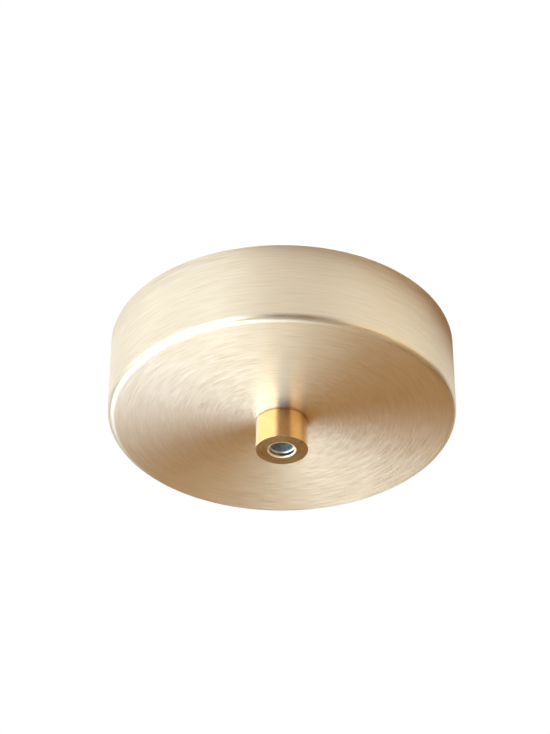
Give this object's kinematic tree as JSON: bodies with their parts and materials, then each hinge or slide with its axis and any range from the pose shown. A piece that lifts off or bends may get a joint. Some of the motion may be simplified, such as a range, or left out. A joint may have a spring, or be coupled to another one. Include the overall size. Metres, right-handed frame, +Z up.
{
  "type": "light fixture ceiling canopy",
  "caption": "Round brushed brass ceiling cup for a pendant light, clamped up to a joggled fixing bar by a screwed collar on a hollow threaded tube, with a terminal block inside.",
  "frame": {"origin": "on the threaded tube's axis in the ceiling plane, which is the plane of the cup's rim and of the bar's feet", "axes": "+Z up into the ceiling along the tube's axis, X along the fixing bar, front towards -Y"},
  "size_m": [0.12, 0.12, 0.0415],
  "materials": {
    "brushed_brass": "fine circular brushing, clear",
    "polished_brass": "turned and polished",
    "zinc_tube": "zinc plated, threaded",
    "zinc_sheet": "zinc plated sheet",
    "spring_steel": "zinc plated spring steel",
    "white_nylon": "moulded, slightly translucent",
    "brass_screw": "turned",
    "terminal_brass": "turned",
    "zinc_screw": "zinc plated"
  },
  "bodies": {
    "bracket": {"threaded_tube": "zinc_tube", "ceiling_bar": "zinc_sheet", "top_nut": "zinc_tube", "toothed_washer": "spring_steel", "bottom_nut": "zinc_tube", "end_bush": "white_nylon", "earth_screw": "brass_screw", "earth_clamp": "zinc_sheet", "terminal_block": "white_nylon", "terminal_barrel_1": "terminal_brass", "terminal_barrel_2": "terminal_brass", "terminal_barrel_3": "terminal_brass", "terminal_screw_1": "zinc_screw", "terminal_screw_2": "zinc_screw", "terminal_screw_3": "zinc_screw", "terminal_screw_4": "zinc_screw", "terminal_screw_5": "zinc_screw", "terminal_screw_6": "zinc_screw", "block_screw_1": "zinc_screw", "block_screw_2": "zinc_screw"},
    "cup": {"canopy_cup": "brushed_brass"},
    "collar": {"collar": "polished_brass"}
  },
  "joints": [
    {"name": "cup_drop", "type": "slide", "parent": "bracket", "child": "cup", "axis": [0, 0, -1], "range_m": [0, 0.008]},
    {"name": "collar_turn", "type": "hinge", "parent": "cup", "child": "collar", "pos_m": [0, 0, -0.035], "axis": [0, 0, -1], "range_deg": [0, 2880]}
  ],
  "couplings": [
    {"joint": "collar_turn", "follows": "cup_drop", "rad_per_m": 6283.2}
  ]
}
